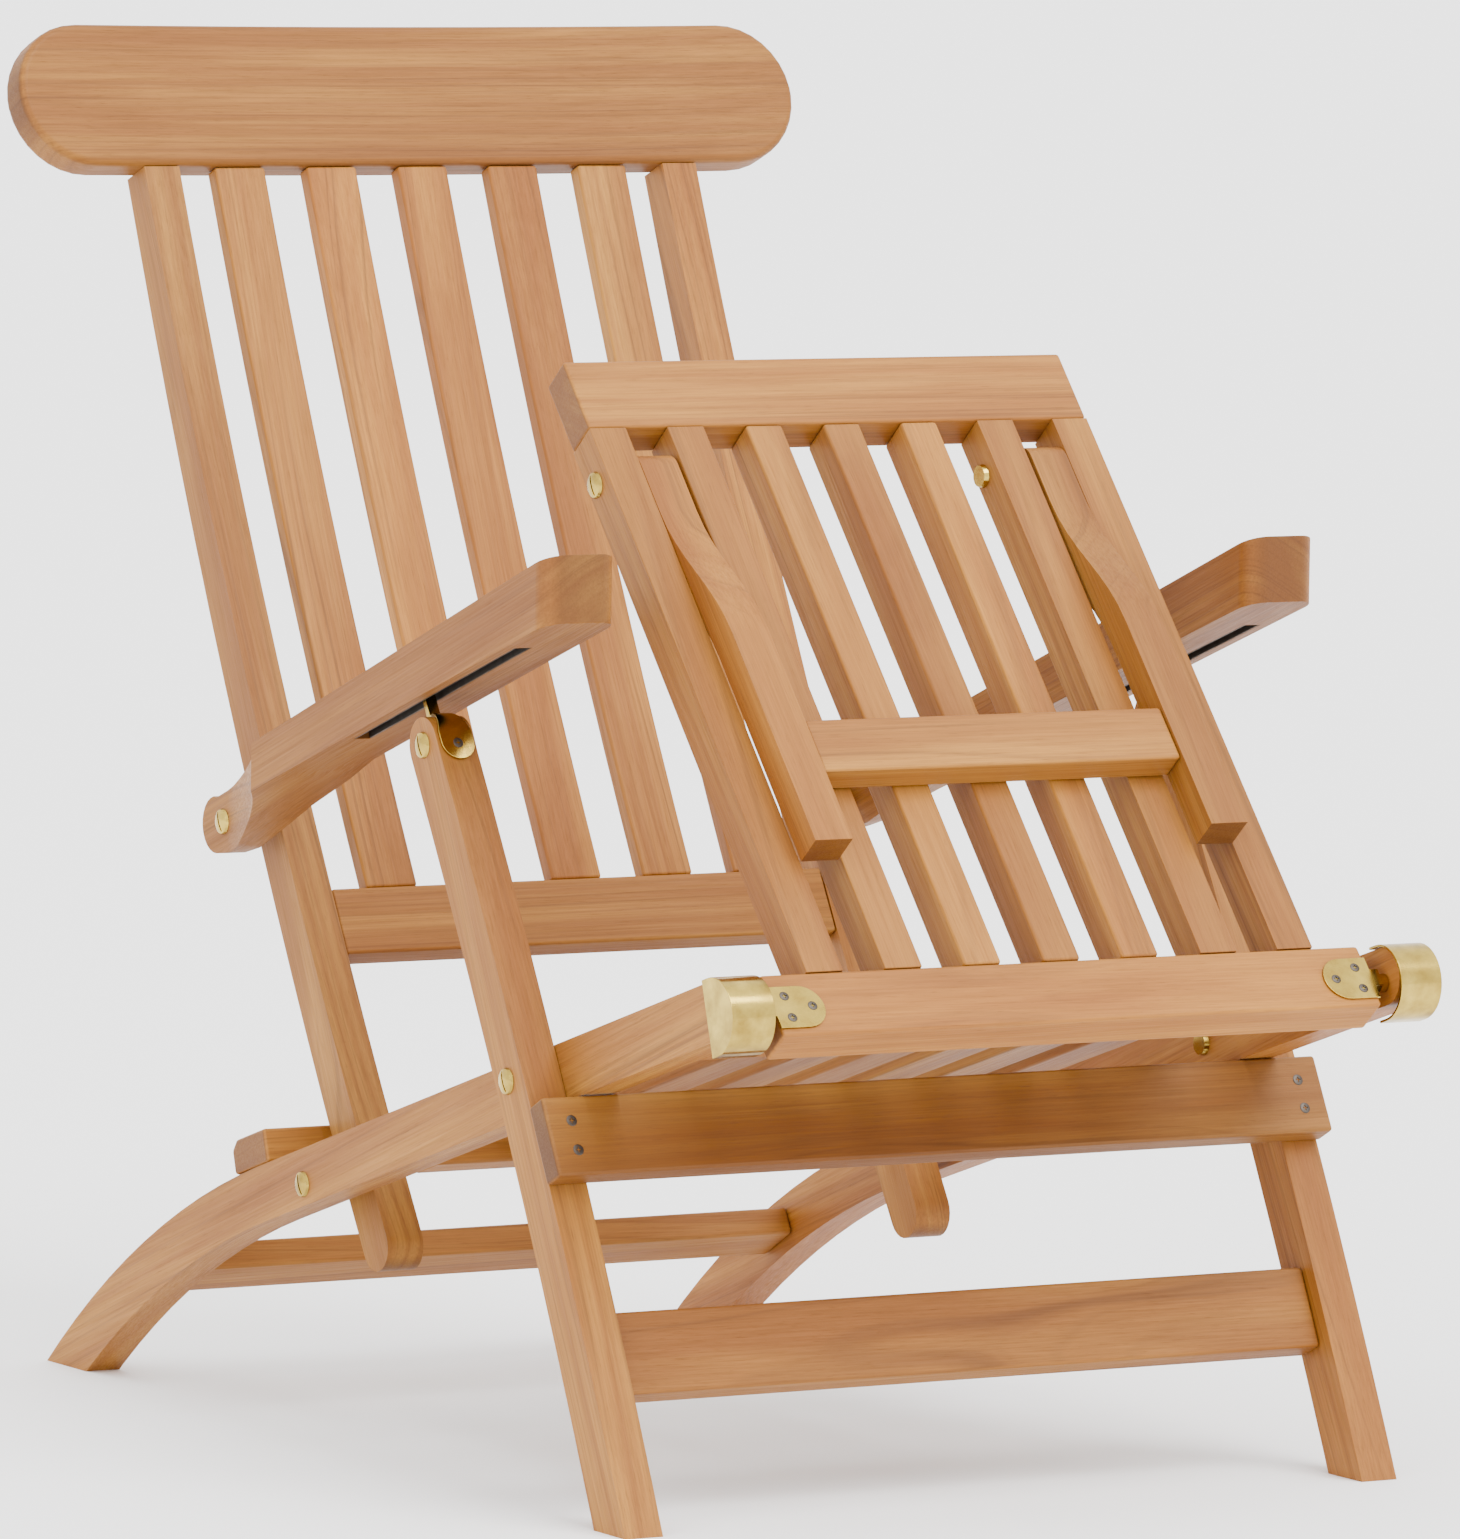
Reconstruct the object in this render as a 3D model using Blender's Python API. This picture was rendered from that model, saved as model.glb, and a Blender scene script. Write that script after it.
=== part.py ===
"""Folding deck chair in teak with brass fittings, its footrest folded back over the seat.

The chair is laid out in side view: +Y runs to the rear, +Z is up and X runs across the chair.
Every pivot runs along X. Places in the side view are (Y, Z) pairs. Lengths are in metres.
"""
import math

import bmesh
import bpy
import numpy as np

# Pivot axes in the side view
LEG_PIVOT = (-0.2292, 0.2623)
LEG_TOP_BOLT = (-0.1176, 0.4603)
BACK_PIVOT = (0.0824, 0.1606)
ARM_PIVOT = (0.2193, 0.3812)
FOOTREST_HINGE = (-0.4338, 0.3221)

# Gaps and hardware
GAP = 0.0003
SHAFT_RADIUS = 0.0040
BORE_RADIUS = 0.0044
HEAD_RADIUS = 0.0085
HEAD_HEIGHT = 0.0030
SLOT_CUT_HALF = 0.0007
SLOT_CUT_DEPTH = 0.0012
COLLAR_RADIUS = 0.0080
ROUND_STEPS = 24

# Side rails: straight under the seat, then bowed down to the rear feet
RAIL_INNER_X = 0.2286
RAIL_OUTER_X = 0.2536
RAIL_DEPTH = 0.0361
RAIL_SLOPE = math.radians(17.34)
RAIL_START = (-0.4326, 0.3259)
RAIL_STRAIGHT = 0.5958
RAIL_BOW_RADIUS = 0.814
RAIL_BOW_LENGTH = 0.340
REAR_STRETCHER_AT = 0.771
REAR_STRETCHER_SIZE = (0.039, 0.019)

# Seat, placed along the side rails from their front ends
SEAT_RAIL_BREADTH = 0.030
SEAT_RAIL_LOW = -0.0180
SEAT_RAIL_HIGH = 0.0047
SEAT_FRONT_AT = 0.040
SEAT_REAR_AT = 0.4095
SEAT_SLAT_COUNT = 7
SEAT_SLAT_PITCH = 0.0555
SEAT_SLAT_WIDTH = 0.0355
SEAT_SLAT_SPAN = (0.041, 0.4895)
SEAT_SLAT_LOW = 0.0050
SEAT_SLAT_HIGH = 0.0170

# Front legs
LEG_INNER_X = 0.2542
LEG_OUTER_X = 0.2807
LEG_DEPTH = 0.0350
LEG_BOW_RADIUS = 4.1
FOOT_CENTRE = (-0.3629, 0.0)
CROSSBAR_HALF = 0.2827
CROSSBAR_HEIGHT = 0.051
CROSSBAR_THICK = 0.018
STRETCHER_AT = 0.1117
STRETCHER_OFFSET = -0.004
STRETCHER_SIZE = (0.053, 0.021)

# Brackets on the leg tops, whose posts run in the arm slots
BRACKET_THICK = 0.0018
BRACKET_HALF = 0.0115
BRACKET_DROP = 0.0080
POST_HALF = 0.0039
POST_HALF_THICK = 0.0020
POST_REACH = 0.0430

# Back
STILE_INNER_X = 0.1852
STILE_OUTER_X = 0.2112
BACK_LOW = (0.0696, 0.1635)
BACK_HIGH = (0.4315, 0.8865)
BACK_BOW_RADIUS = 4.13
STILE_DEPTH_LOW = 0.0330
STILE_DEPTH_HIGH = 0.0260
STILE_ROUND_AT = -0.040
LOWER_RAIL_SPAN = (0.1588, 0.2050)
LOWER_RAIL_THICK = 0.020
BACK_SLAT_COUNT = 5
BACK_SLAT_PITCH = 0.0693
BACK_SLAT_WIDTH = 0.0375
BACK_SLAT_THICK = 0.0125
BACK_SLAT_INSET = 0.0020
HEADBOARD_SPAN = (0.7165, 0.8157)
HEADBOARD_HALF = 0.2955
HEADBOARD_THICK = 0.026
HEADBOARD_SWEEP = 0.006
STOP_BAR_AT = 0.5838
STOP_BAR_SIZE = (0.0468, 0.0221)
STOP_BAR_CHAMFER = (0.0074, 0.0058)

# Arms
ARM_INNER_X = 0.2298
ARM_OUTER_X = 0.2815
TONGUE_OUTER_X = 0.2416
ARM_FRONT_Y = -0.2713
ARM_CORNER = 0.0140
ARM_TOP = ((-0.2629, 0.5858), (0.1178, 0.4389))
ARM_UNDER = ((-0.2703, 0.5467), (0.1050, 0.4127))
ARM_DROOP_Y = (0.0378, 0.0696, 0.1198, 0.1562, 0.1897, 0.2094, 0.2291)
ARM_DROOP_Z = (0.4367, 0.4212, 0.3999, 0.3822, 0.3664, 0.3615, 0.3595)
ARM_RAMP_Y = (0.1068, 0.1178, 0.1287, 0.1478, 0.1671, 0.1858, 0.2028, 0.2128)
ARM_RAMP_X = (0.2815, 0.2745, 0.2686, 0.2600, 0.2531, 0.2475, 0.2430, 0.2416)
ARM_TAIL_CENTRE = (0.2291, 0.3782)
ARM_TAIL_RADIUS = 0.0187
SLOT_X = 0.2669
SLOT_HALF = 0.0064
SLOT_DEPTH = 0.0150
SLOT_SPAN_Y = (-0.2181, -0.0142)
TRACK_WALL = 0.0012

# Footrest, placed along its own length from the hinge and forward of its front plane
FOOTREST_LEAN = math.radians(41.0)
HINGE_SET_BACK = 0.0057
FOOTREST_THICK = 0.0266
FOOT_RAIL_SPAN = (-0.0197, 0.0252)
FOOT_RAIL_HALF = 0.2160
FOOT_SIDE_SPAN = (0.0255, 0.4400)
FOOT_SIDE_INNER_X = 0.1568
FOOT_SIDE_OUTER_X = 0.1828
FOOT_TOP_SPAN = (0.4403, 0.4925)
FOOT_SLAT_COUNT = 5
FOOT_SLAT_PITCH = 0.0569
FOOT_SLAT_WIDTH = 0.0265
FOOT_SLAT_THICK = 0.0255
FOOT_LEG_INNER_X = 0.1298
FOOT_LEG_OUTER_X = 0.1565
FOOT_LEG_PIVOT = (0.4078, -0.0165)
FOOT_LEG_END = 0.106
FOOT_LEG_TOP = 0.4235
FOOT_LEG_BEND = (0.262, 0.375)
FOOT_LEG_CENTRES = (0.0117, -0.0125)
FOOT_LEG_DEPTHS = (0.0225, 0.0245)
FOOT_BAR_SPAN = (0.158, 0.197)
FOOT_BAR_DEPTH = (0.0010, 0.0215)

# Footrest hinges: brass cups on the side rails, plates on the footrest
CUP_RADIUS = 0.0241
CUP_WALL = 0.0017
CUP_LIP_X = 0.2256
CUP_TAIL = 0.0070
PLATE_INNER_X = 0.1805
PLATE_HALF = 0.0150
PLATE_THICK = 0.0013
KNUCKLE_X = (0.2165, 0.2220)
KNUCKLE_BORE = 0.0044
NECK_HALF = 0.0060

SIDES = (("left", 1), ("right", -1))


class Bow:
    """Side-view curve of constant curvature; offsets are to the left of its direction."""

    def __init__(self, start, heading, curvature=0.0):
        self.start = start
        self.heading = heading
        self.curvature = curvature

    def at(self, along, offset=0.0):
        """Place on the curve, moved sideways by the offset."""
        angle = self.angle(along)
        if self.curvature:
            y = (math.sin(angle) - math.sin(self.heading)) / self.curvature
            z = (math.cos(self.heading) - math.cos(angle)) / self.curvature
        else:
            y = along * math.cos(angle)
            z = along * math.sin(angle)
        y += self.start[0] - offset * math.sin(angle)
        z += self.start[1] + offset * math.cos(angle)
        return y, z

    def angle(self, along):
        """Direction of the curve at a distance along it."""
        return self.heading + self.curvature * along


def bow_through(start, end, radius):
    """Bow from start to end and its length; a negative radius bends to the right."""
    chord = math.dist(start, end)
    half_turn = math.asin(chord / 2 / radius)
    heading = math.atan2(end[1] - start[1], end[0] - start[0]) - half_turn
    return Bow(start, heading, 1 / radius), 2 * half_turn * radius


class SideRail:
    """Centreline of a side rail: a straight run followed by a downward bow."""

    def __init__(self):
        self.front = Bow(RAIL_START, -RAIL_SLOPE)
        self.rear = Bow(self.front.at(RAIL_STRAIGHT), -RAIL_SLOPE, -1 / RAIL_BOW_RADIUS)

    def at(self, along, offset=0.0):
        """Place on the centreline, raised by the offset."""
        if along <= RAIL_STRAIGHT:
            return self.front.at(along, offset)
        return self.rear.at(along - RAIL_STRAIGHT, offset)


RAIL = SideRail()
LEG, LEG_LENGTH = bow_through(FOOT_CENTRE, LEG_TOP_BOLT, -LEG_BOW_RADIUS)
BACK, BACK_LENGTH = bow_through(BACK_LOW, BACK_HIGH, BACK_BOW_RADIUS)


def footrest_place(along, forward):
    """Side-view place from distances along the footrest and forward of its front plane."""
    ahead = forward + HINGE_SET_BACK
    y = FOOTREST_HINGE[0] + along * math.sin(FOOTREST_LEAN) - ahead * math.cos(FOOTREST_LEAN)
    z = FOOTREST_HINGE[1] + along * math.cos(FOOTREST_LEAN) + ahead * math.sin(FOOTREST_LEAN)
    return y, z


def arc(centre, radius, first, last, steps):
    """Points on a side-view arc between two angles in radians."""
    angles = np.linspace(first, last, steps + 1)
    return [(centre[0] + radius * math.cos(a), centre[1] + radius * math.sin(a)) for a in angles]


def above_floor(outline):
    """Side-view outline with everything below the floor cut off."""
    kept = []
    for here, there in zip(outline, outline[1:] + outline[:1]):
        if here[1] >= 0:
            kept.append(here)
        if (here[1] >= 0) != (there[1] >= 0):
            share = here[1] / (here[1] - there[1])
            kept.append((here[0] + share * (there[0] - here[0]), 0.0))
    return kept


def box_outline(curve, first, last, low, high):
    """Four corners of a straight piece laid along a curve."""
    return [curve.at(first, low), curve.at(last, low), curve.at(last, high), curve.at(first, high)]


def clear_scene():
    """Remove everything that the default scene holds."""
    for obj in list(bpy.data.objects):
        bpy.data.objects.remove(obj, do_unlink=True)
    for mesh in list(bpy.data.meshes):
        bpy.data.meshes.remove(mesh)
    for material in list(bpy.data.materials):
        bpy.data.materials.remove(material)


def make_finish(name, colour, roughness, metallic):
    """Principled material."""
    material = bpy.data.materials.new(name)
    material.use_nodes = True
    shader = material.node_tree.nodes["Principled BSDF"]
    shader.inputs["Base Color"].default_value = (*colour, 1.0)
    shader.inputs["Roughness"].default_value = roughness
    shader.inputs["Metallic"].default_value = metallic
    material.diffuse_color = (*colour, 1.0)
    return material


def loft(name, rings, finish, closed=False):
    """Solid skinned over a row of equal rings, capped at both ends unless it closes on itself."""
    body = bmesh.new()
    rows = [[body.verts.new(point) for point in ring] for ring in rings]
    pairs = list(zip(rows, rows[1:]))
    if closed:
        pairs.append((rows[-1], rows[0]))
    else:
        body.faces.new(rows[0])
        body.faces.new(rows[-1])
    for near, far in pairs:
        for i in range(len(near)):
            j = (i + 1) % len(near)
            body.faces.new((near[i], near[j], far[j], far[i]))
    bmesh.ops.recalc_face_normals(body, faces=body.faces)
    mesh = bpy.data.meshes.new(name)
    body.to_mesh(mesh)
    body.free()
    mesh.shade_smooth()
    mesh.set_sharp_from_angle(angle=math.radians(30))
    obj = bpy.data.objects.new(name, mesh)
    bpy.context.collection.objects.link(obj)
    if finish:
        obj.data.materials.append(finish)
    return obj


def plank(name, outline, x0, x1, finish):
    """Side-view outline given a width along X."""
    return loft(name, [[(x, y, z) for y, z in outline] for x in (x0, x1)], finish)


def turned(name, centre, profile, side, finish, closed=False):
    """Round piece about an X axis from (X, radius) stations."""
    rings = []
    for x, radius in profile:
        circle = arc(centre, radius, 0, 2 * math.pi, ROUND_STEPS)[:-1]
        rings.append([(side * x, y, z) for y, z in circle])
    return loft(name, rings, finish, closed)


def beam(name, section, start, end, finish):
    """Section of (X, height) points carried between two side-view places."""
    length = math.dist(start, end)
    up = (-(end[1] - start[1]) / length, (end[0] - start[0]) / length)
    rings = []
    for y, z in (start, end):
        rings.append([(x, y + h * up[0], z + h * up[1]) for x, h in section])
    return loft(name, rings, finish)


def helper(obj):
    """Mark a body that only shapes others."""
    obj.hide_render = True
    obj.display_type = "WIRE"
    return obj


def combine(target, tool, operation):
    """Exact Boolean of a helper body on a piece."""
    modifier = target.modifiers.new(tool.name, "BOOLEAN")
    modifier.operation = operation
    modifier.solver = "EXACT"
    modifier.object = tool


def bore(targets, label, centre, x0, x1, side):
    """Round hole along X through each target."""
    tool = turned(f"bore_{label}", centre, ((x0, BORE_RADIUS), (x1, BORE_RADIUS)), side, None)
    helper(tool)
    for target in targets:
        combine(target, tool, "DIFFERENCE")


def bolt(name, centre, inner, outer, side, finish, collar=None):
    """Pivot bolt from an inner nut to an outer domed head, with an optional spacer collar."""
    profile = [(inner - HEAD_HEIGHT, HEAD_RADIUS * 0.8), (inner, HEAD_RADIUS * 0.9)]
    profile += [(inner, SHAFT_RADIUS)]
    if collar:
        profile += [(collar[0], SHAFT_RADIUS), (collar[0], COLLAR_RADIUS)]
        profile += [(collar[1], COLLAR_RADIUS), (collar[1], SHAFT_RADIUS)]
    profile += [(outer, SHAFT_RADIUS), (outer, HEAD_RADIUS)]
    profile += [(outer + HEAD_HEIGHT * 0.5, HEAD_RADIUS * 0.92)]
    profile += [(outer + HEAD_HEIGHT * 0.85, HEAD_RADIUS * 0.65)]
    profile += [(outer + HEAD_HEIGHT, HEAD_RADIUS * 0.25)]
    screw = turned(name, centre, profile, side, finish)
    slot_head(screw, centre, outer + HEAD_HEIGHT, side)
    return screw


def slot_head(screw, centre, face, side):
    """Driver slot across a bolt's domed head."""
    tilt = math.radians(65)
    along = (math.cos(tilt), math.sin(tilt))
    corners = ((-HEAD_RADIUS, -SLOT_CUT_HALF), (HEAD_RADIUS, -SLOT_CUT_HALF))
    corners += ((HEAD_RADIUS, SLOT_CUT_HALF), (-HEAD_RADIUS, SLOT_CUT_HALF))
    outline = []
    for a, b in corners:
        y = centre[0] + 1.2 * a * along[0] - b * along[1]
        z = centre[1] + 1.2 * a * along[1] + b * along[0]
        outline.append((y, z))
    x0, x1 = side * (face - SLOT_CUT_DEPTH), side * (face + SLOT_CUT_DEPTH)
    combine(screw, helper(plank(f"slot_{screw.name}", outline, x0, x1, None)), "DIFFERENCE")


def pivot(name, place, parent=None):
    """Empty on a pivot axis."""
    empty = bpy.data.objects.new(name, None)
    empty.empty_display_size = 0.05
    empty.location = (0.0, *place)
    bpy.context.collection.objects.link(empty)
    bpy.context.view_layer.update()
    if parent:
        hang([empty], parent)
    return empty


def hang(pieces, parent):
    """Parent pieces to a pivot without moving them."""
    bpy.context.view_layer.update()
    for piece in pieces:
        piece.parent = parent
        piece.matrix_parent_inverse = parent.matrix_world.inverted()


def spread(count, pitch):
    """Centres of evenly spaced slats across the chair."""
    return [(i - (count - 1) / 2) * pitch for i in range(count)]


def build_seat(teak, brass):
    """Side rails, cross rails, slats and hinge cups; returns the side rails by side."""
    half = RAIL_DEPTH / 2
    stations = list(np.linspace(RAIL_STRAIGHT, RAIL_STRAIGHT + RAIL_BOW_LENGTH, 13))
    nose = arc(RAIL_START, half, math.pi / 2 - RAIL_SLOPE, 1.5 * math.pi - RAIL_SLOPE, 12)
    outline = nose + [RAIL.at(s, -half) for s in stations]
    outline += [RAIL.at(s, half) for s in reversed(stations)]
    outline = above_floor(outline)
    rails = {}
    for side_name, side in SIDES:
        name = f"side_rail_{side_name}"
        rails[side_name] = plank(name, outline, side * RAIL_INNER_X, side * RAIL_OUTER_X, teak)
        build_cup(side_name, side, brass)
    reach = RAIL_INNER_X - GAP
    length, thick = REAR_STRETCHER_SIZE
    tilted = Bow(RAIL.at(REAR_STRETCHER_AT), rail_angle(REAR_STRETCHER_AT))
    outline = box_outline(tilted, -length / 2, length / 2, -thick / 2, thick / 2)
    plank("rear_stretcher", outline, -reach, reach, teak)
    for name, first in (("seat_front_rail", SEAT_FRONT_AT), ("seat_rear_rail", SEAT_REAR_AT)):
        last = first + SEAT_RAIL_BREADTH
        plank(name, box_outline(RAIL, first, last, SEAT_RAIL_LOW, SEAT_RAIL_HIGH), -reach, reach, teak)
    outline = box_outline(RAIL, *SEAT_SLAT_SPAN, SEAT_SLAT_LOW, SEAT_SLAT_HIGH)
    for number, x in enumerate(spread(SEAT_SLAT_COUNT, SEAT_SLAT_PITCH), 1):
        half = SEAT_SLAT_WIDTH / 2
        plank(f"seat_slat_{number}", outline, x - half, x + half, teak)
    return rails


def rail_angle(along):
    """Direction of the side rails at a distance along them."""
    return RAIL.rear.angle(max(along - RAIL_STRAIGHT, 0.0))


def build_cup(side_name, side, brass):
    """Brass cup round the front end of a side rail, open to the inside."""
    cheek_outer = RAIL_OUTER_X + GAP + CUP_WALL
    top = math.pi / 2 - RAIL_SLOPE
    back = Bow(FOOTREST_HINGE, -RAIL_SLOPE)
    outline = arc(FOOTREST_HINGE, CUP_RADIUS, top, top + math.pi, 20)
    outline += [back.at(CUP_TAIL, -CUP_RADIUS), back.at(CUP_TAIL, CUP_RADIUS)]
    x0, x1 = side * CUP_LIP_X, side * cheek_outer
    cup = plank(f"hinge_cup_{side_name}", outline, x0, x1, brass)
    inner = CUP_RADIUS - CUP_WALL
    outline = arc(FOOTREST_HINGE, inner, top, top + math.pi, 20)
    outline += [back.at(2 * CUP_TAIL, -inner), back.at(2 * CUP_TAIL, inner)]
    x0, x1 = side * (CUP_LIP_X - CUP_WALL), side * (RAIL_OUTER_X + GAP)
    combine(cup, helper(plank(f"cup_hollow_{side_name}", outline, x0, x1, None)), "DIFFERENCE")


def build_legs(teak, brass, rails):
    """Front legs with their crossbars, bolts and arm brackets."""
    half = LEG_DEPTH / 2
    stations = list(np.linspace(-0.03, LEG_LENGTH, 12))
    facing = LEG.angle(LEG_LENGTH)
    outline = [LEG.at(s, half) for s in stations]
    outline += arc(LEG_TOP_BOLT, half, facing + math.pi / 2, facing - math.pi / 2, 14)[1:-1]
    outline += [LEG.at(s, -half) for s in reversed(stations)]
    outline = above_floor(outline)
    pieces = []
    for side_name, side in SIDES:
        leg = plank(f"front_leg_{side_name}", outline, side * LEG_INNER_X, side * LEG_OUTER_X, teak)
        outer = LEG_OUTER_X + GAP
        name = f"leg_pivot_bolt_{side_name}"
        pieces.append(bolt(name, LEG_PIVOT, RAIL_INNER_X - GAP, outer, side, brass))
        name = f"leg_top_bolt_{side_name}"
        pieces.append(bolt(name, LEG_TOP_BOLT, LEG_INNER_X - GAP, outer, side, brass))
        bore([leg, rails[side_name]], f"leg_pivot_{side_name}", LEG_PIVOT, 0.22, 0.29, side)
        bore([leg], f"leg_top_{side_name}", LEG_TOP_BOLT, 0.25, 0.29, side)
        pieces += [leg, build_bracket(side_name, side, brass)]
    near = half + GAP
    far = near + CROSSBAR_THICK
    top = crossbar_top(far)
    outline = box_outline(LEG, top - CROSSBAR_HEIGHT, top, near, far)
    pieces.append(plank("front_crossbar", outline, -CROSSBAR_HALF, CROSSBAR_HALF, teak))
    height, thick = STRETCHER_SIZE
    low, high = STRETCHER_OFFSET - thick / 2, STRETCHER_OFFSET + thick / 2
    outline = box_outline(LEG, STRETCHER_AT - height / 2, STRETCHER_AT + height / 2, low, high)
    reach = LEG_INNER_X - GAP
    pieces.append(plank("front_stretcher", outline, -reach, reach, teak))
    return pieces


def crossbar_top(offset):
    """Distance up the legs at which the crossbar's front edge meets the side rails' underside."""
    low, high = 0.1, LEG_LENGTH
    for _ in range(40):
        middle = (low + high) / 2
        y, z = LEG.at(middle, offset)
        rise = (y - RAIL_START[0]) * math.sin(RAIL_SLOPE) + (z - RAIL_START[1]) * math.cos(RAIL_SLOPE)
        if rise < -RAIL_DEPTH / 2 - GAP:
            low = middle
        else:
            high = middle
    return low


def build_bracket(side_name, side, brass):
    """Strip up the front of a leg and over its top, ending in the post for the arm slot."""
    inner = LEG_DEPTH / 2 + GAP
    outer = inner + BRACKET_THICK
    top = Bow(LEG_TOP_BOLT, LEG.angle(LEG_LENGTH))
    middle = (LEG_INNER_X + LEG_OUTER_X) / 2
    edges = []
    for turn in np.linspace(0.15, math.pi / 2, 7):
        along = -BRACKET_DROP - BRACKET_HALF * math.cos(turn)
        edges.append((top.at(along, inner), top.at(along, outer), BRACKET_HALF * math.sin(turn)))
    bend_end = math.asin(POST_HALF_THICK / inner)
    for turn in np.linspace(math.pi / 2, bend_end, 10):
        share = (turn - bend_end) / (math.pi / 2 - bend_end)
        width = POST_HALF + (BRACKET_HALF - POST_HALF) * share
        near, far = (top.at(r * math.cos(turn), r * math.sin(turn)) for r in (inner, outer))
        edges.append((near, far, width))
    for along_rear, along_front in ((inner, outer), (POST_REACH, POST_REACH)):
        rear = top.at(along_rear, -POST_HALF_THICK)
        front = top.at(along_front, POST_HALF_THICK)
        edges.append((rear, front, POST_HALF))
    rings = []
    for near, far, width in edges:
        x0, x1 = side * (middle - width), side * (middle + width)
        rings.append([(x0, *near), (x1, *near), (x1, *far), (x0, *far)])
    return loft(f"arm_bracket_{side_name}", rings, brass)


def build_back(teak):
    """Stiles, lower rail, slats, headboard and stop bar; returns all pieces and the stiles."""
    pieces = []
    stiles = {}
    taper = ((0.05, 0.70), (STILE_DEPTH_LOW, STILE_DEPTH_HIGH))
    stations = list(np.linspace(STILE_ROUND_AT, HEADBOARD_SPAN[0] - GAP, 16))
    round_radius = STILE_DEPTH_LOW / 2
    round_centre = BACK.at(STILE_ROUND_AT, -round_radius)
    facing = BACK.angle(STILE_ROUND_AT)
    outline = arc(round_centre, round_radius, facing - math.pi / 2, facing - 1.5 * math.pi, 12)[:-1]
    outline += [BACK.at(s) for s in stations]
    outline += [BACK.at(s, -np.interp(s, *taper)) for s in reversed(stations[1:])]
    for side_name, side in SIDES:
        name = f"back_stile_{side_name}"
        stiles[side_name] = plank(name, outline, side * STILE_INNER_X, side * STILE_OUTER_X, teak)
    pieces += stiles.values()
    reach = STILE_INNER_X - GAP
    outline = box_outline(BACK, *LOWER_RAIL_SPAN, -LOWER_RAIL_THICK, 0.0)
    pieces.append(plank("back_lower_rail", outline, -reach, reach, teak))
    stations = list(np.linspace(LOWER_RAIL_SPAN[1] + GAP, HEADBOARD_SPAN[0] - GAP, 12))
    front, rear = -BACK_SLAT_INSET, -BACK_SLAT_INSET - BACK_SLAT_THICK
    outline = [BACK.at(s, front) for s in stations] + [BACK.at(s, rear) for s in reversed(stations)]
    for number, x in enumerate(spread(BACK_SLAT_COUNT, BACK_SLAT_PITCH), 1):
        half = BACK_SLAT_WIDTH / 2
        pieces.append(plank(f"back_slat_{number}", outline, x - half, x + half, teak))
    pieces.append(build_headboard(teak))
    breadth, height = STOP_BAR_SIZE
    cut, drop = STOP_BAR_CHAMFER
    bar = Bow(RAIL.at(STOP_BAR_AT, RAIL_DEPTH / 2 + GAP), -RAIL_SLOPE)
    outline = [bar.at(0.0, 0.0), bar.at(breadth, 0.0), bar.at(breadth, height - drop)]
    outline += [bar.at(breadth - cut, height), bar.at(0.0, height)]
    pieces.append(plank("stop_bar", outline, -RAIL_OUTER_X, RAIL_OUTER_X, teak))
    return pieces, stiles


def build_headboard(teak):
    """Board across the top of the back, its ends half round and swept slightly forward."""
    low, high = HEADBOARD_SPAN
    radius = (high - low) / 2
    straight = HEADBOARD_HALF - radius
    ends = [straight + radius * math.sin(a) for a in np.linspace(0, 0.48 * math.pi, 9)]
    across = [-x for x in reversed(ends)] + list(np.linspace(-straight, straight, 9)[1:-1]) + ends
    rings = []
    for x in across:
        past = max(abs(x) - straight, 0.0)
        half = math.sqrt(radius ** 2 - past ** 2)
        sweep = HEADBOARD_SWEEP * (x / HEADBOARD_HALF) ** 2
        lower, upper = (low + high) / 2 - half, (low + high) / 2 + half
        corners = box_outline(BACK, lower, upper, sweep - HEADBOARD_THICK, sweep)
        rings.append([(x, y, z) for y, z in corners])
    return loft("headboard", rings, teak)


def line_height(line, y):
    """Height of a straight side-view line at a place along Y."""
    (y0, z0), (y1, z1) = line
    return z0 + (z1 - z0) * (y - y0) / (y1 - y0)


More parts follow.
